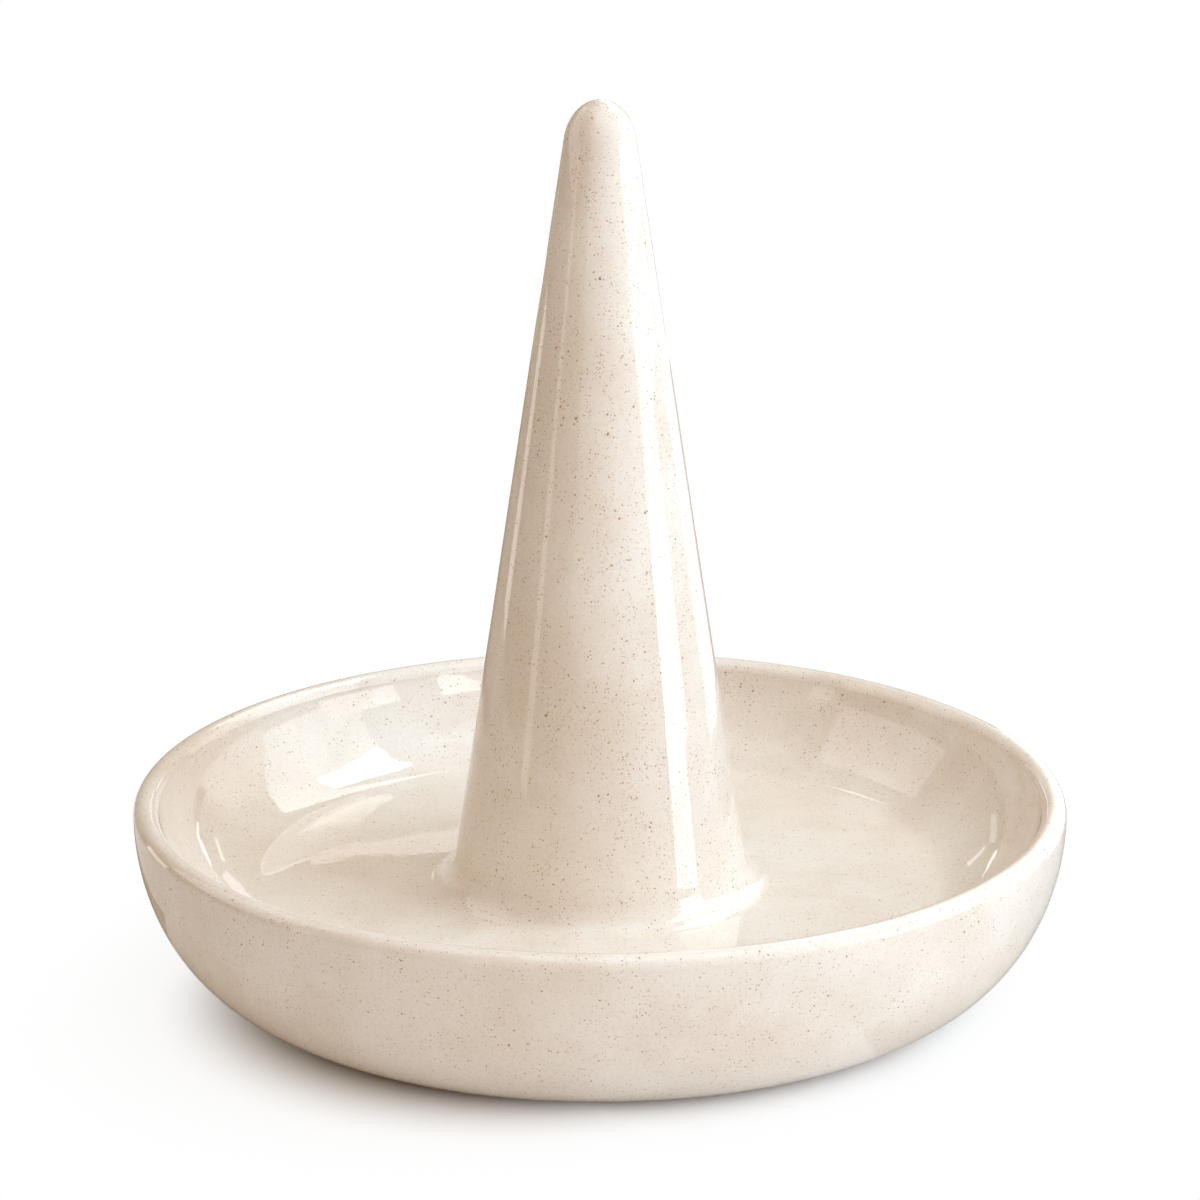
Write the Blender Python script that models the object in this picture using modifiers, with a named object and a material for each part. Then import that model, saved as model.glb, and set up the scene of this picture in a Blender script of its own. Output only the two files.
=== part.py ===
"""Ring cone: a tall cone for finger rings, standing in a low round dish.

Glazed stoneware, made as three pieces that are stuck together with slip before firing: the dish,
the hollow cone in its socket, and a thin coil of clay smoothed to a cove round the cone's foot.

Metres, +Z up. The origin is the middle of the foot, on the table. Every piece is turned about +Z.
"""
from math import acos, atan2, cos, hypot, pi, sin, sqrt

import bpy

# Dish, outside
DISH_RADIUS = 0.0550        # widest ring, just under the lip
DISH_HEIGHT = 0.0221        # from the table to the top of the lip
LIP_THICKNESS = 0.0030      # the lip is half round, this wide
FOOT_RADIUS = 0.0405        # outer edge of the foot, where the belly tucks in
FOOT_BAND = 0.0004          # bare upright band between the table and the belly
FOOT_WIDTH = 0.0060         # flat ring that the pot stands on
FOOT_EDGE = 0.0005          # rounding of the foot ring's inner edge

# Dish, underneath and inside
RECESS_DEPTH = 0.0045       # hollow inside the foot ring
RECESS_FILLET = 0.0025      # rounding where the hollow's wall meets its roof
FLOOR_THICKNESS = 0.0060    # clay between the hollow and the dish's floor
FLOOR_RADIUS = 0.0400       # flat part of the floor, before the wall curves up
SOCKET_DEPTH = 0.0010       # the cone's foot is let into the floor by this much
VENT_RADIUS = 0.0035        # hole that lets the air out of the cone in the kiln

# Cone
CONE_HEIGHT = 0.0940        # the piece by itself, from its foot to its tip
CONE_FOOT_RADIUS = 0.0178   # outside, at the foot
TIP_RADIUS = 0.0042         # half width of the domed tip
TIP_RISE = 0.0054           # height of the dome
CONE_WALL = 0.0036          # thickness of the cast wall
HOLLOW_TIP_RADIUS = 0.0020  # the hollow ends in a half ball of this radius
CONE_FOOT_EDGE = 0.0005     # rounding of the foot's outer edge

# Coil round the cone's foot
COIL_SEAT_DEPTH = 0.0003    # scored ring in the floor that the coil is bedded in
COVE_REACH = 0.0026         # how far it spreads over the floor
COVE_HEIGHT = 0.0028        # how far it climbs the cone
COVE_EDGE = 0.0003          # thickness left where it feathers out

# Bed of slip that parts each piece from what carries it
SLIP_GAP = 0.0003

# Smoothness of the turned shapes
DISH_STEPS = 72
CONE_STEPS = 60
COIL_STEPS = 60
SAME_POINT = 1e-7

# Heights that follow from the sizes
floor_z = RECESS_DEPTH + FLOOR_THICKNESS
socket_z = floor_z - SOCKET_DEPTH
coil_seat_z = floor_z - COIL_SEAT_DEPTH
coil_bottom_z = coil_seat_z + SLIP_GAP
lip_z = DISH_HEIGHT - LIP_THICKNESS / 2
cone_foot_z = socket_z + SLIP_GAP
socket_radius = CONE_FOOT_RADIUS + SLIP_GAP


def ellipse_arc(centre, radii, start, end, pieces):
    """Points on an arc of an ellipse, both ends included; angles from +r towards +z."""
    turn = (end - start) / pieces
    angles = [start + turn * i for i in range(pieces + 1)]
    return [(centre[0] + radii[0] * cos(a), centre[1] + radii[1] * sin(a)) for a in angles]


def round_arc(centre, radius, start, end, pieces):
    """The same on a circle."""
    return ellipse_arc(centre, (radius, radius), start, end, pieces)


def cove_curve(top, corner, foot, pieces):
    """A curve from top to foot that leaves each of them along its line to the corner."""
    points = []
    for i in range(pieces + 1):
        t = i / pieces
        weights = ((1 - t) ** 2, 2 * t * (1 - t), t ** 2)
        r = sum(w * p[0] for w, p in zip(weights, (top, corner, foot)))
        z = sum(w * p[1] for w, p in zip(weights, (top, corner, foot)))
        points.append((r, z))
    return points


def without_repeats(points):
    """The outline with each point that repeats the one before it left out."""
    kept = points[:1]
    for p in points[1:]:
        if hypot(p[0] - kept[-1][0], p[1] - kept[-1][1]) > SAME_POINT:
            kept.append(p)
    return kept


def dome_start_angle():
    """Angle on the tip's dome at which a straight side from the cone's foot runs into it."""
    # The line through the foot touches the ellipse where a * cos(t) + b * sin(t) = 1.
    a = CONE_FOOT_RADIUS / TIP_RADIUS
    b = -(CONE_HEIGHT - TIP_RISE) / TIP_RISE
    return atan2(b, a) + acos(1 / hypot(a, b))


def cone_side():
    """The outer side's start at the foot and its end at the dome, heights from the cone's foot."""
    t = dome_start_angle()
    shoulder = (TIP_RADIUS * cos(t), CONE_HEIGHT - TIP_RISE + TIP_RISE * sin(t))
    return (CONE_FOOT_RADIUS, 0.0), shoulder


def cone_taper():
    """How much the cone's radius shrinks for each unit of height."""
    foot, shoulder = cone_side()
    return (foot[0] - shoulder[0]) / (shoulder[1] - foot[1])


def cone_radius_at(z):
    """Outer radius of the cone's straight side at a height above the table."""
    return CONE_FOOT_RADIUS - (z - cone_foot_z) * cone_taper()


def coil_foot_radius():
    """Outer radius of the coil, where it feathers out on the floor."""
    return cone_radius_at(coil_bottom_z) + SLIP_GAP + COVE_REACH


def dish_outline():
    """Closed section of the dish, from the widest ring down the belly and round to the lip."""
    belly = ellipse_arc((FOOT_RADIUS, lip_z), (DISH_RADIUS - FOOT_RADIUS, lip_z - FOOT_BAND),
                        0.0, -pi / 2, 14)
    recess_radius = FOOT_RADIUS - FOOT_WIDTH
    foot_ring = [(FOOT_RADIUS, 0.0)]
    foot_ring += round_arc((recess_radius + FOOT_EDGE, FOOT_EDGE), FOOT_EDGE, -pi / 2, -pi, 2)
    recess = round_arc((recess_radius - RECESS_FILLET, RECESS_DEPTH - RECESS_FILLET),
                       RECESS_FILLET, 0.0, pi / 2, 4)
    vent = [(VENT_RADIUS, RECESS_DEPTH), (VENT_RADIUS, socket_z)]
    seat_radius = coil_foot_radius() + SLIP_GAP
    socket = [(socket_radius, socket_z), (socket_radius, coil_seat_z)]
    coil_seat = [(seat_radius, coil_seat_z), (seat_radius, floor_z)]
    wall = ellipse_arc((FLOOR_RADIUS, lip_z),
                       (DISH_RADIUS - LIP_THICKNESS - FLOOR_RADIUS, lip_z - floor_z),
                       -pi / 2, 0.0, 12)
    lip = round_arc((DISH_RADIUS - LIP_THICKNESS / 2, lip_z), LIP_THICKNESS / 2, pi, 0.0, 8)
    bottom = foot_ring + recess + vent
    inside = socket + coil_seat + wall
    return without_repeats(belly + bottom + inside + lip)[:-1]


def cone_outline():
    """Section of the hollow cone, from the outer tip down the side and up inside to the axis."""
    dome_centre = (0.0, CONE_HEIGHT - TIP_RISE)
    dome = ellipse_arc(dome_centre, (TIP_RADIUS, TIP_RISE), pi / 2, dome_start_angle(), 9)
    lean = cone_taper()
    slant = sqrt(1 + lean * lean)
    edge_radius = CONE_FOOT_RADIUS - lean * CONE_FOOT_EDGE
    foot = round_arc((edge_radius - CONE_FOOT_EDGE, CONE_FOOT_EDGE), CONE_FOOT_EDGE,
                     0.0, -pi / 2, 3)
    # The hollow's side runs CONE_WALL inside the outer side, and touches the half ball at its top.
    hollow_foot_radius = CONE_FOOT_RADIUS - CONE_WALL * slant
    ball_z = (hollow_foot_radius - HOLLOW_TIP_RADIUS * slant) / lean
    lean_angle = atan2(lean, 1.0)
    ball = round_arc((0.0, ball_z), HOLLOW_TIP_RADIUS, lean_angle, pi / 2, 5)
    points = without_repeats(dome + foot + [(hollow_foot_radius, 0.0)] + ball)
    points[0] = (0.0, CONE_HEIGHT)
    points[-1] = (0.0, ball_z + HOLLOW_TIP_RADIUS)
    return [(r, z + cone_foot_z) for r, z in points]


def coil_outline():
    """Closed section of the coil: a cove outside, lying along the cone's side and on the floor."""
    top_z = coil_bottom_z + COVE_HEIGHT
    inner_bottom = (cone_radius_at(coil_bottom_z) + SLIP_GAP, coil_bottom_z)
    inner_top = (cone_radius_at(top_z) + SLIP_GAP, top_z)
    cove_top = (inner_top[0] + COVE_EDGE, top_z)
    edge_z = coil_bottom_z + COVE_EDGE
    cove_foot = (coil_foot_radius(), edge_z)
    corner = (cone_radius_at(edge_z) + SLIP_GAP + COVE_EDGE, edge_z)
    cove = cove_curve(cove_top, corner, cove_foot, 8)
    return cove + [(cove_foot[0], coil_bottom_z), inner_bottom, inner_top]


def glaze(name, colour, roughness):
    """A plain glossy glaze in one colour."""
    material = bpy.data.materials.new(name)
    material.use_nodes = True
    shader = material.node_tree.nodes["Principled BSDF"]
    shader.inputs["Base Color"].default_value = (*colour, 1.0)
    shader.inputs["Roughness"].default_value = roughness
    shader.inputs["Metallic"].default_value = 0.0
    return material


def turned_piece(name, outline, closed, steps, material, collection):
    """A solid of revolution: the outline stands at +X and a Screw modifier turns it about Z."""
    count = len(outline)
    edges = [(i, i + 1) for i in range(count - 1)]
    if closed:
        edges.append((count - 1, 0))
    mesh = bpy.data.meshes.new(name)
    mesh.from_pydata([(r, 0.0, z) for r, z in outline], edges, [])
    mesh.materials.append(material)
    piece = bpy.data.objects.new(name, mesh)
    collection.objects.link(piece)
    screw = piece.modifiers.new("Turn", "SCREW")
    screw.axis = "Z"
    screw.angle = 2 * pi
    screw.screw_offset = 0.0
    screw.steps = steps
    screw.render_steps = steps
    screw.use_merge_vertices = True
    screw.merge_threshold = 0.00001
    screw.use_smooth_shade = True
    return piece


def clear_scene():
    """Remove whatever the file already holds."""
    for item in list(bpy.data.objects):
        bpy.data.objects.remove(item, do_unlink=True)


def build():
    """Make the three pieces."""
    clear_scene()
    collection = bpy.data.collections.new("ring_cone")
    bpy.context.scene.collection.children.link(collection)
    dish_glaze = glaze("dish_glaze", (0.78, 0.70, 0.60), 0.12)
    cone_glaze = glaze("cone_glaze", (0.79, 0.71, 0.61), 0.10)
    coil_glaze = glaze("coil_glaze", (0.76, 0.68, 0.58), 0.12)
    turned_piece("dish", dish_outline(), True, DISH_STEPS, dish_glaze, collection)
    turned_piece("cone", cone_outline(), False, CONE_STEPS, cone_glaze, collection)
    turned_piece("joint_coil", coil_outline(), True, COIL_STEPS, coil_glaze, collection)


build()
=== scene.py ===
"""Looks of the ring cone: glazed stoneware, turned round the upright axis.

The dish, the cone and the coil round the cone's foot are turned again here with fine steps, so that
the glaze reflects cleanly, and are glazed in one speckled cream glaze that runs on over the joints.
Metres, +Z up, in the frame's own place. Directions round the pot are azimuths in degrees: 0 is the
camera's side and 90 is +X.
"""
from math import acos, atan2, cos, hypot, pi, radians, sin, sqrt

import bmesh
import bpy
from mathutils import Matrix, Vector, noise


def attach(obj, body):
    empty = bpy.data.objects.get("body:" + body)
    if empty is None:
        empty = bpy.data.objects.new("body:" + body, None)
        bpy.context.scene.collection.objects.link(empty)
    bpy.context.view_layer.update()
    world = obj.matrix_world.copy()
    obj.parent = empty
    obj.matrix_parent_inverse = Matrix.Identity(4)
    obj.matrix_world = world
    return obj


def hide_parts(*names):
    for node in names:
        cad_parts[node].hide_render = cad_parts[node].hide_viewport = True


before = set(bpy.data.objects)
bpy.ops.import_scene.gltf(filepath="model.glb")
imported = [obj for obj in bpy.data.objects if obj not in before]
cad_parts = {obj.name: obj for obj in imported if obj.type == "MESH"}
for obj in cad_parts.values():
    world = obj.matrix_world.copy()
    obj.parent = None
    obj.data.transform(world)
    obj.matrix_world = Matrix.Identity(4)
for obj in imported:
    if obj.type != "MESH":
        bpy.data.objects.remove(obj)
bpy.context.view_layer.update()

# Dish, outside and underneath
DISH_RADIUS = 0.0550
DISH_HEIGHT = 0.0221
LIP_THICKNESS = 0.0030
FOOT_RADIUS = 0.0405        # outer edge of the foot, where the belly tucks in
FOOT_BAND = 0.0004          # upright band between the table and the belly
FOOT_WIDTH = 0.0060
FOOT_EDGE = 0.0005          # rounding of the foot ring's inner edge
RECESS_DEPTH = 0.0045       # hollow inside the foot ring
RECESS_FILLET = 0.0025

# Dish, inside
FLOOR_THICKNESS = 0.0060
FLOOR_RADIUS = 0.0400       # flat part of the floor, before the wall curves up
WALL_RISE = 0.0129          # half height of the oval that the wall is a part of
WALL_REACH = 0.01227        # half width of that oval
WALL_LEAN = 11.0            # degrees by which the wall still leans out where it meets the lip
SOCKET_DEPTH = 0.0010
VENT_RADIUS = 0.0035
SLIP_GAP = 0.0003           # bed of slip between the cone and its socket

# Cone
CONE_HEIGHT = 0.0940
CONE_FOOT_RADIUS = 0.0178
TIP_RADIUS = 0.0042
TIP_RISE = 0.0054           # height of the dome
CONE_WALL = 0.0036
HOLLOW_TIP_RADIUS = 0.0020
CONE_FOOT_EDGE = 0.0005

# Coil, smoothed to a cove
COVE_REACH = 0.0030         # how far it spreads over the floor
COVE_HEIGHT = 0.0034        # how far it climbs the cone
COIL_BED = 0.00012          # how deep it is bedded in the floor and the cone

# Places that follow from the sizes
FLOOR_Z = RECESS_DEPTH + FLOOR_THICKNESS
SOCKET_Z = FLOOR_Z - SOCKET_DEPTH
CONE_FOOT_Z = SOCKET_Z + SLIP_GAP
SOCKET_RADIUS = CONE_FOOT_RADIUS + SLIP_GAP

# Fineness of the turned shapes: steps round the axis, then pieces along each stretch of an outline
DISH_STEPS = 320
CONE_STEPS = 200
COIL_STEPS = 240
BELLY_PIECES = 56
FOOT_PIECES = 4
EDGE_PIECES = 4
FILLET_PIECES = 8
ROOF_PIECES = 12
FLOOR_PIECES = 22
WALL_PIECES = 56
LIP_PIECES = 36
DOME_PIECES = 28
SIDE_PIECES = 60
HOLLOW_PIECES = 20
HOLLOW_TIP_PIECES = 8
COVE_PIECES = 32
SAME_POINT = 1e-6
CREASE_ANGLE = radians(42)

# Unevenness of a hand-finished pot, always inwards, from a little above the table
WANDER_DEPTH = 0.00006
WANDER_LENGTH = 0.018
RIPPLE_DEPTH = 0.000005
RIPPLE_LENGTH = 0.0035
EVEN_BAND = 0.0015
EVEN_FADE = 0.003

# Camera of the photograph
CAMERA_DISTANCE = 0.450
CAMERA_ELEVATION = radians(16.45)
AIM_HEIGHT = 0.0451
LENS_MM = 115.6
SENSOR_MM = 36.0


# Outlines

def arc(centre, radii, start, end, pieces):
    """Points on an arc of an ellipse, both ends included; degrees from +r towards +z."""
    angles = [radians(start + (end - start) * i / pieces) for i in range(pieces + 1)]
    return [(centre[0] + radii[0] * cos(a), centre[1] + radii[1] * sin(a)) for a in angles]


def line(start, end, pieces):
    """Evenly spaced points from start to end."""
    shares = [i / pieces for i in range(pieces + 1)]
    return [(start[0] + (end[0] - start[0]) * t, start[1] + (end[1] - start[1]) * t) for t in shares]


def dome_start():
    """Angle on the tip's dome, in degrees, where the straight side runs into it."""
    a = CONE_FOOT_RADIUS / TIP_RADIUS
    b = -(CONE_HEIGHT - TIP_RISE) / TIP_RISE
    return (atan2(b, a) + acos(1 / hypot(a, b))) * 180 / pi


def cone_shoulder():
    """Where the straight side meets the dome, heights from the table."""
    t = radians(dome_start())
    return TIP_RADIUS * cos(t), CONE_FOOT_Z + CONE_HEIGHT - TIP_RISE + TIP_RISE * sin(t)


def cone_taper():
    """How much the cone's radius shrinks for each unit of height."""
    shoulder_r, shoulder_z = cone_shoulder()
    return (CONE_FOOT_RADIUS - shoulder_r) / (shoulder_z - CONE_FOOT_Z)


def cone_radius_at(z):
    """Outer radius of the cone's straight side at a height above the table."""
    return CONE_FOOT_RADIUS - (z - CONE_FOOT_Z) * cone_taper()


def dish_outline():
    """Closed section of the dish: belly, foot ring, hollow underneath, floor, wall and lip."""
    lip_z = DISH_HEIGHT - LIP_THICKNESS / 2
    lip_centre = (DISH_RADIUS - LIP_THICKNESS / 2, lip_z)
    recess_radius = FOOT_RADIUS - FOOT_WIDTH
    belly = arc((FOOT_RADIUS, lip_z), (DISH_RADIUS - FOOT_RADIUS, lip_z - FOOT_BAND), 0, -90,
                BELLY_PIECES)
    foot = line((FOOT_RADIUS, 0), (recess_radius + FOOT_EDGE, 0), FOOT_PIECES)
    foot += arc((recess_radius + FOOT_EDGE, FOOT_EDGE), (FOOT_EDGE, FOOT_EDGE), -90, -180,
                EDGE_PIECES)
    fillet_centre = (recess_radius - RECESS_FILLET, RECESS_DEPTH - RECESS_FILLET)
    roof = arc(fillet_centre, (RECESS_FILLET, RECESS_FILLET), 0, 90, FILLET_PIECES)
    roof += line(roof[-1], (VENT_RADIUS, RECESS_DEPTH), ROOF_PIECES)
    socket = [(VENT_RADIUS, SOCKET_Z), (SOCKET_RADIUS, SOCKET_Z), (SOCKET_RADIUS, FLOOR_Z)]
    floor = line((SOCKET_RADIUS, FLOOR_Z), (FLOOR_RADIUS, FLOOR_Z), FLOOR_PIECES)
    wall = arc((FLOOR_RADIUS, FLOOR_Z + WALL_RISE), (WALL_REACH, WALL_RISE), -90, -WALL_LEAN,
               WALL_PIECES)
    lip = arc(lip_centre, (LIP_THICKNESS / 2, LIP_THICKNESS / 2), 180 - WALL_LEAN, 0,
              LIP_PIECES)
    return belly + foot + roof + socket + floor + wall + lip


def cone_outline():
    """Section of the hollow cone, from the tip down the side and up inside to the axis."""
    dome_centre = (0, CONE_FOOT_Z + CONE_HEIGHT - TIP_RISE)
    dome = arc(dome_centre, (TIP_RADIUS, TIP_RISE), 90, dome_start(), DOME_PIECES)
    edge_radius = CONE_FOOT_RADIUS - cone_taper() * CONE_FOOT_EDGE
    side = line(dome[-1], (edge_radius, CONE_FOOT_Z + CONE_FOOT_EDGE), SIDE_PIECES)
    foot = arc((edge_radius - CONE_FOOT_EDGE, CONE_FOOT_Z + CONE_FOOT_EDGE),
               (CONE_FOOT_EDGE, CONE_FOOT_EDGE), 0, -90, EDGE_PIECES)
    slant = sqrt(1 + cone_taper() ** 2)
    hollow_foot = CONE_FOOT_RADIUS - CONE_WALL * slant
    ball_z = CONE_FOOT_Z + (hollow_foot - HOLLOW_TIP_RADIUS * slant) / cone_taper()
    ball = arc((0, ball_z), (HOLLOW_TIP_RADIUS, HOLLOW_TIP_RADIUS), 0, 90, HOLLOW_TIP_PIECES)
    hollow = line((hollow_foot, CONE_FOOT_Z), ball[0], HOLLOW_PIECES)
    return dome + side + foot + hollow + ball


def coil_outline():
    """Closed section of the coil: its cove leaves the cone and reaches the floor without a step."""
    top_z = FLOOR_Z + COVE_HEIGHT
    foot_r = cone_radius_at(FLOOR_Z) + COVE_REACH
    top = (cone_radius_at(top_z) - COIL_BED / 4, top_z)
    foot = (foot_r, FLOOR_Z - COIL_BED / 4)
    corner = (cone_radius_at(FLOOR_Z), FLOOR_Z)
    cove = []
    for i in range(COVE_PIECES + 1):
        t = i / COVE_PIECES
        weights = ((1 - t) ** 2, 2 * t * (1 - t), t ** 2)
        r, z = (sum(w * p[k] for w, p in zip(weights, (top, corner, foot))) for k in (0, 1))
        cove.append((r, z))
    inner = [(foot_r - COIL_BED, FLOOR_Z - COIL_BED), (corner[0] - COIL_BED, FLOOR_Z - COIL_BED)]
    return cove + inner


# Turning

def wander(point):
    """How far the surface lies inside its true shape at a point."""
    slow = 1 + noise.noise(point / WANDER_LENGTH)
    fast = 1 + noise.noise(point / RIPPLE_LENGTH)
    return (WANDER_DEPTH * slow + RIPPLE_DEPTH * fast) / 2


def uneven(work):
    """Moves each point of the glazed surface a little inwards, but not the foot ring."""
    moves = []
    for v in work.verts:
        fade = min(1.0, max(0.0, (v.co.z - EVEN_BAND) / EVEN_FADE))
        moves.append((v, v.normal * (wander(v.co) * fade)))
    for v, move in moves:
        v.co -= move


def turned(name, outline, closed, steps, finish, node):
    """A piece turned round the axis from its outline, in place of its CAD node."""
    work = bmesh.new()
    verts = [work.verts.new((r, 0, z)) for r, z in outline]
    edges = [work.edges.new(pair) for pair in zip(verts, verts[1:])]
    if closed:
        edges.append(work.edges.new((verts[-1], verts[0])))
    bmesh.ops.spin(work, geom=verts + edges, cent=(0, 0, 0), axis=(0, 0, 1), angle=2 * pi,
                   steps=steps, use_merge=True)
    bmesh.ops.remove_doubles(work, verts=work.verts, dist=SAME_POINT)
    bmesh.ops.recalc_face_normals(work, faces=work.faces)
    work.normal_update()
    uneven(work)
    mesh = bpy.data.meshes.new(name)
    work.to_mesh(mesh)
    work.free()
    mesh.shade_smooth()
    mesh.set_sharp_from_angle(angle=CREASE_ANGLE)
    mesh.materials.append(finish)
    piece = bpy.data.objects.new(name, mesh)
    bpy.context.scene.collection.objects.link(piece)
    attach(piece, "root")
    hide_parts(node)


# Shader maths

class Value:
    """A number or colour in a node tree, so that shader maths reads as plain arithmetic."""

    def __init__(self, recipe, socket):
        self.recipe = recipe
        self.socket = socket

    def maths(self, operation, *others):
        inputs = dict(enumerate((self, *others)))
        return self.recipe.node("ShaderNodeMath", {"operation": operation}, inputs)

    def __add__(self, other):
        return self.maths("ADD", other)

    __radd__ = __add__

    def __sub__(self, other):
        return self.maths("SUBTRACT", other)

    def __rsub__(self, other):
        return (self * -1) + other

    def __mul__(self, other):
        return self.maths("MULTIPLY", other)

    __rmul__ = __mul__

    def __truediv__(self, other):
        return self.maths("DIVIDE", other)

    def larger(self, other):
        return self.maths("MAXIMUM", other)

    def absolute(self):
        return self.maths("ABSOLUTE")

    def step(self, low, high):
        """0 at low, 1 at high and smooth between; low may be the larger one."""
        settings = {"interpolation_type": "SMOOTHSTEP"}
        inputs = {"Value": self, "From Min": low, "From Max": high}
        return self.recipe.node("ShaderNodeMapRange", settings, inputs)

    def other(self, output):
        """Another output of the same node."""
        return Value(self.recipe, self.socket.node.outputs[output])


class Recipe:
    """Nodes of a material or of the world, added one by one."""

    def __init__(self, owner, empty=False):
        owner.use_nodes = True
        self.tree = owner.node_tree
        if empty:
            self.tree.nodes.clear()

    def node(self, kind, settings, inputs, output=0):
        """Adds a node, makes its settings, fills its sockets, and gives one output."""
        node = self.tree.nodes.new(kind)
        for key, value in settings.items():
            setattr(node, key, value)
        for key, value in inputs.items():
            self.fill(node.inputs[key], value)
        return Value(self, node.outputs[output]) if node.outputs else None

    def fill(self, socket, value):
        """Links a Value to a socket, or sets a plain number or colour on it."""
        if isinstance(value, Value):
            self.tree.links.new(value.socket, socket)
        elif socket.type == "RGBA":
            socket.default_value = (*value, 1.0)
        else:
            socket.default_value = value

    def colours(self, blend, share, first, second):
        """Blends two colours."""
        settings = {"data_type": "RGBA", "blend_type": blend}
        return self.node("ShaderNodeMix", settings, {0: share, 6: first, 7: second}, output=2)

    def noise(self, place, scale, detail=2.0, roughness=0.5):
        """Soft noise from 0 to 1; scale is in features for each metre."""
        inputs = {"Vector": place, "Scale": scale, "Detail": detail, "Roughness": roughness}
        return self.node("ShaderNodeTexNoise", {}, inputs)

    def place(self):
        """The point's place in the piece's own metres."""
        return self.node("ShaderNodeTexCoord", {}, {}, output="Object")

    def moved(self, place, shift, scale=(1.0, 1.0, 1.0)):
        """The same pattern somewhere else, or stretched."""
        inputs = {"Vector": place, "Location": shift, "Scale": scale}
        return self.node("ShaderNodeMapping", {"vector_type": "POINT"}, inputs)


# Glaze

CREAM = (0.850, 0.785, 0.705)
ROSY_CREAM = (0.800, 0.712, 0.622)
PALE_CREAM = (0.885, 0.840, 0.775)
SPECK_BROWN = (0.290, 0.140, 0.030)
SPECK_TAN = (0.500, 0.290, 0.080)
BARE_CLAY = (0.560, 0.430, 0.310)
BARE_CLAY_GRIT = (0.300, 0.210, 0.140)
GLAZE_IOR = 1.52

# Patterns in the glaze, in features for each metre
CLOUDS = 75.0
DRIFTS = 150.0
WAVES = 210.0
FOOT_WAVES = 240.0
MOTTLE = 330.0
SPECK_TONES = 700.0
GRAIN = 2300.0
SPECK_BENDS = 2600.0

# Kinds of specks: cells for each metre, and the radius of a speck in metres
LARGE_SPECKS = (1150.0, 0.00017)
MEDIUM_SPECKS = (2000.0, 0.00014)
SMALL_SPECKS = (3000.0, 0.00010)
DUST_SPECKS = (4500.0, 0.00008)
SPECK_BEND = (0.0004, 0.0004, 0.0004)

# Foot: the glaze is wiped off up to about this height
BARE_HEIGHT = 0.00035
BARE_WAVE = 0.0005
BARE_EDGE = 0.00012


def speck_layer(recipe, place, kind, share):
    """Round specks of one kind: 1 inside a speck. share, from 0 to 1, says how many cells have one."""
    per_metre, radius = kind
    settings = {"feature": "F1", "distance": "EUCLIDEAN"}
    inputs = {"Vector": place, "Scale": per_metre, "Randomness": 1.0}
    distance = recipe.node("ShaderNodeTexVoronoi", settings, inputs)
    chance = recipe.node("ShaderNodeSeparateColor", {}, {"Color": distance.other("Color")})
    size = chance.other("Green")
    reach = (size * 0.75 + 0.40) * (radius * per_metre)
    inside = 1 - (distance / reach).step(0.45, 1.0)
    return inside * (share - chance).step(-0.01, 0.01)


def specks(recipe, place, cloud, plenty):
    """Iron specks in drifts: the strong ones, and the faint ones between them."""
    drift = recipe.noise(recipe.moved(place, (0.62, 0.33, 0.14), (1.0, 1.0, 0.3)), DRIFTS, 3.0, 0.6)
    chains = 1 - (drift - 0.5).absolute().step(0.01, 0.06)
    crowd = (chains * 0.72 + cloud.step(0.70, 0.30) * 0.28) * plenty
    bend = recipe.noise(place, SPECK_BENDS, 1.0).other("Color")
    spot = recipe.node("ShaderNodeVectorMath", {"operation": "MULTIPLY_ADD"},
                       {0: bend, 1: SPECK_BEND, 2: place})
    medium_spot = recipe.moved(spot, (0.2, 0.7, 0.4))
    small_spot = recipe.moved(spot, (0.9, 0.1, 0.3))
    dust_spot = recipe.moved(spot, (0.6, 0.5, 0.8))
    large = speck_layer(recipe, spot, LARGE_SPECKS, crowd * 0.30 + 0.01)
    medium = speck_layer(recipe, medium_spot, MEDIUM_SPECKS, crowd * 0.75 + 0.08)
    small = speck_layer(recipe, small_spot, SMALL_SPECKS, crowd * 0.65 + 0.25)
    dust = speck_layer(recipe, dust_spot, DUST_SPECKS, 0.6)
    strong = (large * 0.95).larger(medium * 0.84)
    faint = (small * 0.66).larger(dust * 0.38)
    return strong, faint


def mottled_cream(recipe, place, cloud, mottle):
    """The glaze's own colour, from rosy to pale in soft clouds, with a fine grain."""
    grain = recipe.noise(recipe.moved(place, (0.15, 0.25, 0.35)), GRAIN, 2.0, 0.6)
    body = recipe.colours("MIX", cloud.step(0.30, 0.70), ROSY_CREAM, PALE_CREAM)
    body = recipe.colours("MIX", (mottle - 0.2) * 0.9, body, CREAM)
    return recipe.colours("MULTIPLY", 1.0, body, grain * 0.14 + 0.93)


def bare_clay(recipe, place):
    """Where the foot is bare, the clay's colour there, and its grit."""
    height = recipe.node("ShaderNodeSeparateXYZ", {}, {"Vector": place}, output="Z")
    edge = recipe.noise(place, FOOT_WAVES, 2.0) * BARE_WAVE + BARE_HEIGHT
    bare = (height - edge).step(BARE_EDGE, -BARE_EDGE)
    grit = recipe.noise(place, GRAIN, 3.0, 0.7)
    clay = recipe.colours("MIX", grit.step(0.62, 0.74), BARE_CLAY, BARE_CLAY_GRIT)
    return bare, clay, grit


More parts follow.
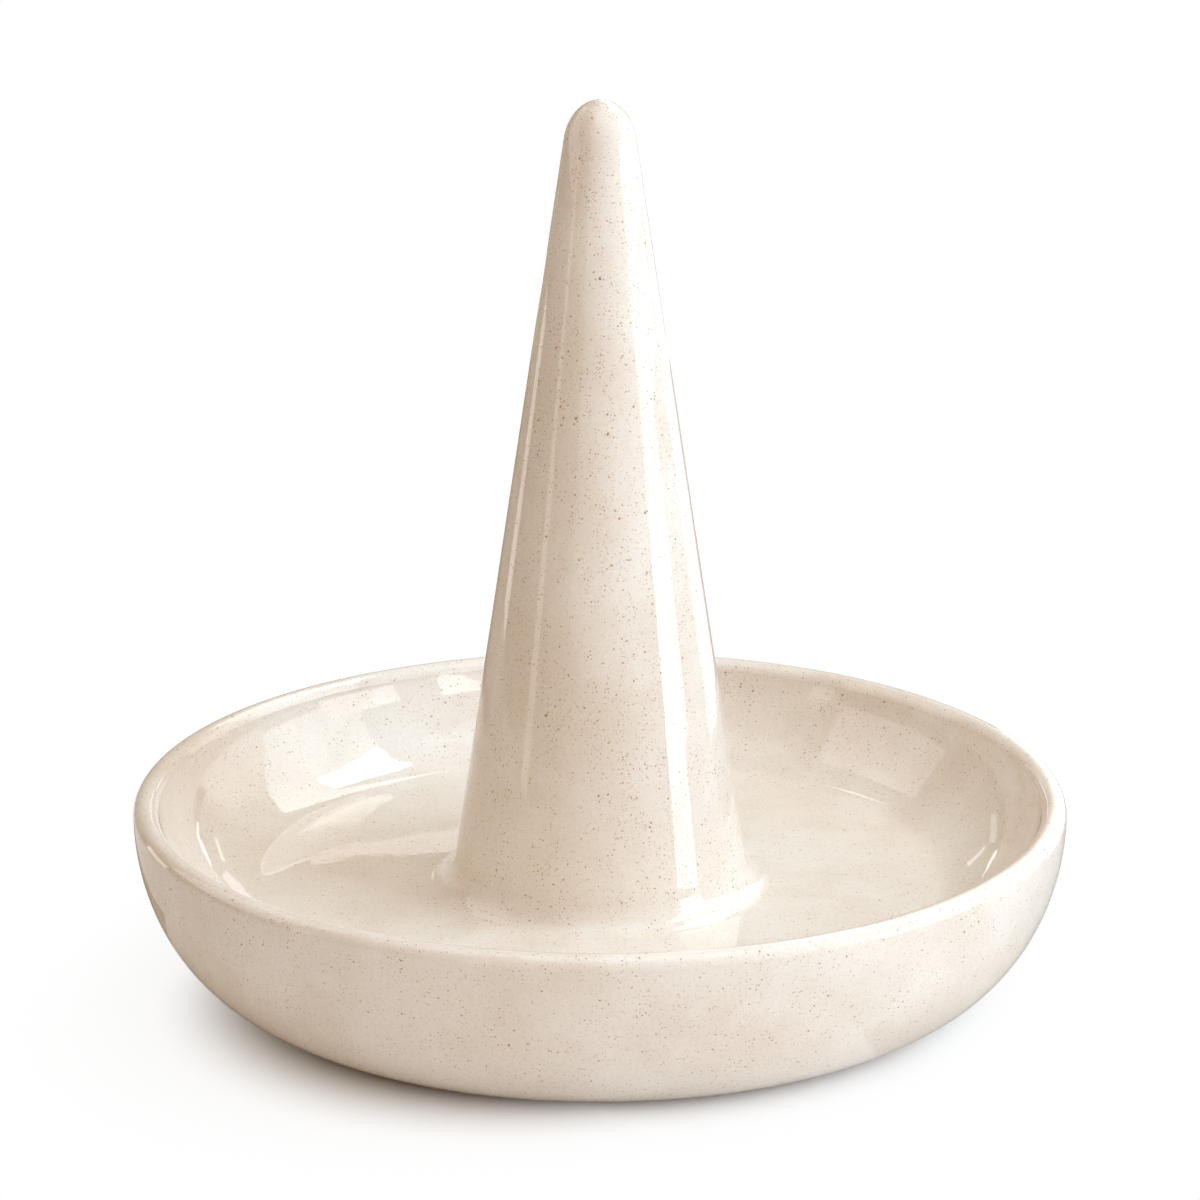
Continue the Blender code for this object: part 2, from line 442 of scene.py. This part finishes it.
def glaze(name, bare_foot, plenty):
    """Glossy cream glaze with brown iron specks, and bare clay at the foot if bare_foot is true.

    plenty says how many specks there are, 1 for the usual number.
    """
    material = bpy.data.materials.new(name)
    recipe = Recipe(material)
    place = recipe.place()
    cloud = recipe.noise(recipe.moved(place, (0.31, 0.12, 0.57)), CLOUDS, 3.0, 0.6)
    mottle = recipe.noise(recipe.moved(place, (0.05, 0.44, 0.21)), MOTTLE, 4.0, 0.7)
    tone = recipe.noise(recipe.moved(place, (0.77, 0.2, 0.1)), SPECK_TONES, 1.0)
    wave = recipe.noise(recipe.moved(place, (0.4, 0.3, 0.2)), WAVES, 2.0, 0.5)
    strong, faint = specks(recipe, place, cloud, plenty)
    speck_colour = recipe.colours("MIX", tone.step(0.38, 0.62), SPECK_BROWN, SPECK_TAN)
    body = mottled_cream(recipe, place, cloud, mottle)
    colour = recipe.colours("MIX", strong.larger(faint), body, speck_colour)
    roughness = mottle * 0.02 + 0.012
    relief = wave + mottle * 0.10 - strong * 0.25
    if bare_foot:
        bare, clay, grit = bare_clay(recipe, place)
        colour = recipe.colours("MIX", bare, colour, clay)
        roughness = roughness + bare * 0.8
        relief = relief + bare * grit * 3.0
    bump = recipe.node("ShaderNodeBump", {}, {"Strength": 0.25, "Distance": 0.00004, "Height": relief})
    shader = recipe.tree.nodes["Principled BSDF"]
    recipe.fill(shader.inputs["Base Color"], colour)
    recipe.fill(shader.inputs["Roughness"], roughness)
    recipe.fill(shader.inputs["Normal"], bump)
    shader.inputs["IOR"].default_value = GLAZE_IOR
    return material


# Studio: lamps give the soft light, and cards that only the gloss sees give the reflections

WHITE = (1.00, 1.00, 1.00)
WARM_WHITE = (1.00, 0.95, 0.88)
COOL_WHITE = (0.92, 1.00, 1.03)
SKY_WHITE = (0.80, 1.00, 1.10)
BRIGHT_WHITE = (1.80, 1.80, 1.75)
ROSY = (1.12, 1.04, 1.02)
OLIVE = (1.00, 0.88, 0.62)
TAUPE = (0.50, 0.46, 0.42)
DARK_TAUPE = (0.46, 0.40, 0.32)
# brown of the painted dark reflection that draws a line along the pot's outline
OUTLINE_REFLECTION_BROWN = (0.40, 0.30, 0.21)
KEY_LIGHT = (0.58, 0.79, 1.00)
TOP_LIGHT = (0.95, 0.95, 1.00)
FRONT_LIGHT = (1.00, 0.88, 0.85)
LOW_LEFT = (0.30, 0.16, 0.08)
LOW_RIGHT = (0.33, 0.18, 0.05)
HIGH_LEFT = (0.48, 0.41, 0.30)
HIGH_RIGHT = (0.90, 0.88, 0.80)
TABLE_GREY = (0.92, 0.92, 0.92)

# Places in the studio
LAMP_AIM = Vector((0, 0, 0.03))
CARD_AIM = Vector((0, 0, 0.05))
CARD_RING = 0.300           # radius on which the large cards are bent
BACK_RING = 0.150           # the same for the cards that the dish's wall mirrors
CARD_LAYER = 0.001          # cards that overlap hang this much apart
CARD_BEND = 4               # degrees between the folds of a bent card
TABLE_CARD_HEIGHT = 0.001
OVERHEAD_HEIGHT = 0.600
GLEAM_SIZE = (0.0122, 0.0450)
GLEAM_POWER = 4.4 * pi * GLEAM_SIZE[0] * GLEAM_SIZE[1]

# Shadow on the table: how far from the middle it fades to white, and how it is drawn out to the left
SHADOW_WAY = (-0.67, -0.74, 0.0)
SHADOW_START = 0.033
SHADOW_STRETCH = 0.31
NEAR_FADE = (0.0388, 0.0504)
FAR_FADE = (0.045, 0.066)
FAR_SHARE = 0.1


def card_face(name, colour, strength, fade):
    """A glow towards the pot, nothing on the other side. It may fade to another colour along X."""
    material = bpy.data.materials.new(name)
    recipe = Recipe(material, empty=True)
    back = recipe.node("ShaderNodeNewGeometry", {}, {}, output="Backfacing")
    if fade:
        low, high, other = fade
        side = recipe.node("ShaderNodeSeparateXYZ", {}, {"Vector": recipe.place()}, output="X")
        colour = recipe.colours("MIX", side.step(low, high), colour, other)
    lit = recipe.node("ShaderNodeEmission", {}, {"Color": colour, "Strength": strength})
    clear = recipe.node("ShaderNodeBsdfTransparent", {}, {})
    both = recipe.node("ShaderNodeMixShader", {}, {0: back, 1: lit, 2: clear})
    recipe.node("ShaderNodeOutputMaterial", {}, {"Surface": both})
    material.cycles.emission_sampling = "NONE"
    return material


def flat_sheet(outline):
    """A flat sheet of triangles inside an outline, which may have hollows."""
    work = bmesh.new()
    corners = [work.verts.new((x, y, 0)) for x, y in outline]
    sides = [work.edges.new(pair) for pair in zip(corners, corners[1:] + corners[:1])]
    bmesh.ops.triangle_fill(work, edges=sides, use_beauty=True)
    return work


def hang(work, name, towards, colour, strength, fade=None):
    """Turns a card's face towards a point. Only the gloss sees it."""
    bmesh.ops.recalc_face_normals(work, faces=work.faces)
    work.normal_update()
    facing = sum(f.calc_area() * f.normal.dot(towards - f.calc_center_median()) for f in work.faces)
    if facing < 0:
        bmesh.ops.reverse_faces(work, faces=work.faces)
    mesh = bpy.data.meshes.new(name)
    work.to_mesh(mesh)
    work.free()
    mesh.materials.append(card_face(name + "_face", colour, strength, fade))
    piece = bpy.data.objects.new(name, mesh)
    bpy.context.scene.collection.objects.link(piece)
    for way in ("camera", "diffuse", "transmission", "volume_scatter", "shadow"):
        setattr(piece, "visible_" + way, False)


def card(name, ring, outline, colour, strength, fade=None):
    """A card bent round the pot; its outline is in degrees of azimuth and millimetres of height."""
    work = flat_sheet(outline)
    azimuths = [a for a, h in outline]
    for cut in range(int(min(azimuths)) + 1, int(max(azimuths)) + 1, CARD_BEND):
        bmesh.ops.bisect_plane(work, geom=work.verts[:] + work.edges[:] + work.faces[:],
                               plane_co=(cut, 0, 0), plane_no=(1, 0, 0))
    for v in work.verts:
        a = radians(v.co.x)
        v.co = (ring * sin(a), -ring * cos(a), v.co.y / 1000)
    hang(work, name, CARD_AIM, colour, strength, fade)


def flat_card(name, height, outline, towards, colour, strength):
    """A level card at a height; its outline is in metres."""
    work = flat_sheet(outline)
    for v in work.verts:
        v.co.z = height
    hang(work, name, towards, colour, strength)


def lamp(name, azimuth, elevation, distance, size, power, colour=WHITE):
    """A soft area lamp that faces the pot. The gloss doesn't see it: the cards stand for it there."""
    data = bpy.data.lights.new(name, "AREA")
    data.shape = "RECTANGLE"
    data.size, data.size_y = size
    data.energy = power
    data.color = colour
    a, e = radians(azimuth), radians(elevation)
    way = Vector((sin(a) * cos(e), -cos(a) * cos(e), sin(e)))
    obj = bpy.data.objects.new(name, data)
    obj.location = LAMP_AIM + way * distance
    obj.rotation_euler = way.to_track_quat("Z", "Y").to_euler()
    obj.visible_glossy = False
    bpy.context.scene.collection.objects.link(obj)
    return obj


def gleam_lamp(name, azimuth, elevation, distance, size, power, lean):
    """A small lamp that only the gloss sees, leaning sideways by some degrees."""
    obj = lamp(name, azimuth, elevation, distance, size, power)
    obj.rotation_euler.rotate_axis("Z", radians(lean))
    obj.visible_glossy = True
    for way in ("camera", "diffuse", "transmission", "volume_scatter"):
        setattr(obj, "visible_" + way, False)


def table():
    """A plain white table. Away from the pot's shadow the camera sees it as pure white."""
    work = bmesh.new()
    bmesh.ops.create_circle(work, cap_ends=True, radius=6.0, segments=96)
    mesh = bpy.data.meshes.new("table")
    work.to_mesh(mesh)
    work.free()
    material = bpy.data.materials.new("white_table")
    recipe = Recipe(material)
    shader = recipe.tree.nodes["Principled BSDF"]
    recipe.fill(shader.inputs["Base Color"], TABLE_GREY)
    shader.inputs["Roughness"].default_value = 0.8
    shader.inputs["Specular IOR Level"].default_value = 0.0
    place = recipe.place()
    far = recipe.node("ShaderNodeVectorMath", {"operation": "LENGTH"}, {0: place}, output="Value")
    ahead = recipe.node("ShaderNodeVectorMath", {"operation": "DOT_PRODUCT"},
                        {0: place, 1: SHADOW_WAY}, output="Value")
    reach = far - (ahead - SHADOW_START).larger(0.0) * SHADOW_STRETCH
    camera_ray = recipe.node("ShaderNodeLightPath", {}, {}, output="Is Camera Ray")
    share = camera_ray * (reach.step(*NEAR_FADE) * (1 - FAR_SHARE) + reach.step(*FAR_FADE) * FAR_SHARE)
    white = recipe.node("ShaderNodeEmission", {}, {"Color": WHITE, "Strength": 1.0})
    both = recipe.node("ShaderNodeMixShader", {}, {0: share, 1: Value(recipe, shader.outputs[0]),
                                                   2: white})
    recipe.fill(recipe.tree.nodes["Material Output"].inputs["Surface"], both)
    mesh.materials.append(material)
    top = bpy.data.objects.new("table", mesh)
    bpy.context.scene.collection.objects.link(top)


def surroundings():
    """Soft light all round, brown from below. The camera and the gloss see plain white."""
    world = bpy.data.worlds.new("studio")
    bpy.context.scene.world = world
    recipe = Recipe(world, empty=True)
    way = recipe.node("ShaderNodeTexCoord", {}, {}, output="Generated")
    side = recipe.node("ShaderNodeSeparateXYZ", {}, {"Vector": way})
    low = recipe.colours("MIX", side.step(-0.8, 0.4), LOW_LEFT, LOW_RIGHT)
    high = recipe.colours("MIX", side.step(-0.7, 0.7), HIGH_LEFT, HIGH_RIGHT)
    soft = recipe.colours("MIX", side.other("Z").step(0.30, 0.80), low, high)
    rays = recipe.node("ShaderNodeLightPath", {}, {}, output="Is Camera Ray")
    shown = rays.larger(rays.other("Is Glossy Ray")).larger(rays.other("Is Transmission Ray"))
    plain = recipe.node("ShaderNodeBackground", {}, {"Color": soft, "Strength": 1.0})
    white = recipe.node("ShaderNodeBackground", {}, {"Color": WHITE, "Strength": 1.0})
    both = recipe.node("ShaderNodeMixShader", {}, {0: shown, 1: plain, 2: white})
    recipe.node("ShaderNodeOutputWorld", {}, {"Surface": both})


def block(first, last, low, high):
    """Outline of a plain card."""
    return [(first, low), (last, low), (last, high), (first, high)]


def curve(points, pieces=4):
    """An even curve through some points, from the first to the last."""
    ends = [points[0]] + points + [points[-1]]
    path = [points[0]]
    for i in range(len(points) - 1):
        a, b, c, d = (Vector(p) for p in ends[i:i + 4])
        for k in range(1, pieces + 1):
            t = k / pieces
            p = b + (c - a) * t / 2 + (a * 2 - b * 5 + c * 4 - d) * t ** 2 / 2
            p += (b * 3 - c * 3 + d - a) * t ** 3 / 2
            path.append((p.x, p.y))
    return path


def mirrored(outline):
    """The same points on the other side of the pot, in the opposite order."""
    return [(-x, y) for x, y in reversed(outline)]


# Outlines of the bent cards, in degrees of azimuth and millimetres of height
STRIP = block(62, 87, 0, 150)
OLIVE_SIDE = block(-180, -30, 0, 620)
STRIPE = block(-127, -115, 0, 62)
THIN_STRIPE = block(-71, -64, 0, 130)
DARK_EDGE = block(152, 208, -1, 48)
LEFT_FLOOR = block(186, 198, 53, 61)
WHITE_EDGE = [(166, 299), (158, 326), (143, 339), (137, 382), (120, 440), (105, 439)]
PANEL = ([(74, 66)] + curve([(115, 66), (123, 146), (138, 222), (158, 250), (183, 195)])
         + [(188, 260)] + WHITE_EDGE + curve([(106, 475), (89, 325), (78, 184), (74, 66)])[:-1])
PATCH = WHITE_EDGE + curve([(112, 500), (124, 524), (142, 520), (155, 484), (163, 397)])
DOMES = curve([(115, -1), (122, 77), (141, 119), (157, 127), (186, 110), (211, 128), (230, 95), (239, -1)])
WINDOW = (curve([(287, 110), (276, 285), (263, 406), (245, 490), (227, 528)])
          + curve([(213, 366), (204, 270)]) + curve([(218, 261), (228, 228), (242, 115), (247, 100)]))
LEFT_LINE = [(167, 43), (172, 42), (176, 44.5), (183, 45), (183, 48), (180.5, 50.5), (175, 49.5), (172, 46),
             (167, 46)]
LEFT_STREAK = [(173, 65.5), (177.5, 64.5), (183, 61.5), (184, 64), (177.5, 68), (173, 68.5)]

# Outlines of the level cards, in metres
OVERHEAD = block(-0.12, 0.30, -0.38, 0.10)
BEHIND_FOOT = [(-0.042 * cos(radians(t)), 0.042 * sin(radians(t))) for t in range(0, 181, 30)]
BESIDE_DISH = [(0.060, 0.024), (0.069, 0.050), (0.090, 0.170), (0.130, 0.280)]
FAR_TABLE = ([(-0.064, 0.0)] + BEHIND_FOOT + [(0.045, 0.0), (0.045, 0.020)] + BESIDE_DISH
             + [(0.6, 1.3), (-0.6, 1.3)] + mirrored(BESIDE_DISH[1:]))
RIGHT_TABLE = ([(0.046, 0.020), (0.041, 0.0), (0.036, -0.020), (0.030, -0.030), (0.20, -0.60),
                (0.60, -0.60), (0.60, 0.60)] + BESIDE_DISH[::-1])


def lamps():
    """Soft light from the right, from above and from the front, and a gleam on the cone's foot."""
    lamp("key_lamp", 77, 30, 0.50, (0.30, 0.40), 1.86, KEY_LIGHT)
    lamp("top_lamp", 0, 88, 0.70, (0.50, 0.50), 1.30, TOP_LIGHT)
    lamp("front_lamp", 40, 25, 0.60, (0.30, 0.40), 0.62, FRONT_LIGHT)
    gleam_lamp("foot_gleam", 62.0, 5, 0.041, GLEAM_SIZE, GLEAM_POWER, -5.5)


def cards():
    """What the glaze mirrors: soft boxes, a window and dark walls, then dark cards in place of the white
    table, a painted dark reflection, and what is overhead.
    """
    behind = CARD_RING + 2 * CARD_LAYER
    card("strip_card", CARD_RING, STRIP, WHITE, 4.4)
    card("panel_card", behind, PANEL, COOL_WHITE, 3.2)
    card("patch_card", CARD_RING, PATCH, WHITE, 8.0)
    card("olive_card", behind, OLIVE_SIDE, OLIVE, 0.25)
    card("window_card", CARD_RING, WINDOW, ROSY, 1.3)
    card("stripe_card", CARD_RING, STRIPE, WARM_WHITE, 2.2)
    card("thin_stripe_card", CARD_RING, THIN_STRIPE, WARM_WHITE, 1.8)
    card("domes_card", BACK_RING, DOMES, DARK_TAUPE, 1.0, (0.035, 0.090, BRIGHT_WHITE))
    card("edge_card", BACK_RING - CARD_LAYER, DARK_EDGE, OUTLINE_REFLECTION_BROWN, 0.9)
    card("left_floor_card", BACK_RING - 2 * CARD_LAYER, LEFT_FLOOR, ROSY, 1.3)
    card("left_line_card", BACK_RING - 3 * CARD_LAYER, LEFT_LINE, WHITE, 3.0)
    card("left_streak_card", BACK_RING - 4 * CARD_LAYER, LEFT_STREAK, WHITE, 1.9)
    # These two cards are much darker than the white table: a painted dark reflection of the table in the
    # glaze, which darkens the belly and draws a brown line along the pot's outline
    flat_card("dark_table_reflection_card", TABLE_CARD_HEIGHT, FAR_TABLE, CARD_AIM, OUTLINE_REFLECTION_BROWN, 0.9)
    flat_card("taupe_table_reflection_card", TABLE_CARD_HEIGHT, RIGHT_TABLE, CARD_AIM, TAUPE, 1.0)
    flat_card("overhead_card", OVERHEAD_HEIGHT, OVERHEAD, CARD_AIM, SKY_WHITE, 2.2)


def camera():
    """The photograph's view."""
    data = bpy.data.cameras.new("photo_camera")
    data.sensor_width = SENSOR_MM
    data.lens = LENS_MM
    data.clip_start = 0.01
    data.clip_end = 20.0
    view = bpy.data.objects.new("photo_camera", data)
    view.location = (0, -CAMERA_DISTANCE * cos(CAMERA_ELEVATION),
                     AIM_HEIGHT + CAMERA_DISTANCE * sin(CAMERA_ELEVATION))
    view.rotation_euler = (pi / 2 - CAMERA_ELEVATION, 0, 0)
    bpy.context.scene.collection.objects.link(view)
    bpy.context.scene.camera = view


def pot():
    """The three glazed pieces."""
    dish_glaze = glaze("speckled_cream_dish", True, 0.70)
    cone_glaze = glaze("speckled_cream_cone", False, 1.30)
    coil_glaze = glaze("speckled_cream_cove", False, 0.90)
    turned("glazed_dish", dish_outline(), True, DISH_STEPS, dish_glaze, "dish")
    turned("glazed_cone", cone_outline(), False, CONE_STEPS, cone_glaze, "cone")
    turned("glazed_cove", coil_outline(), True, COIL_STEPS, coil_glaze, "joint_coil")


camera()
pot()
table()
surroundings()
lamps()
cards()
bpy.context.scene.view_settings.view_transform = "Standard"
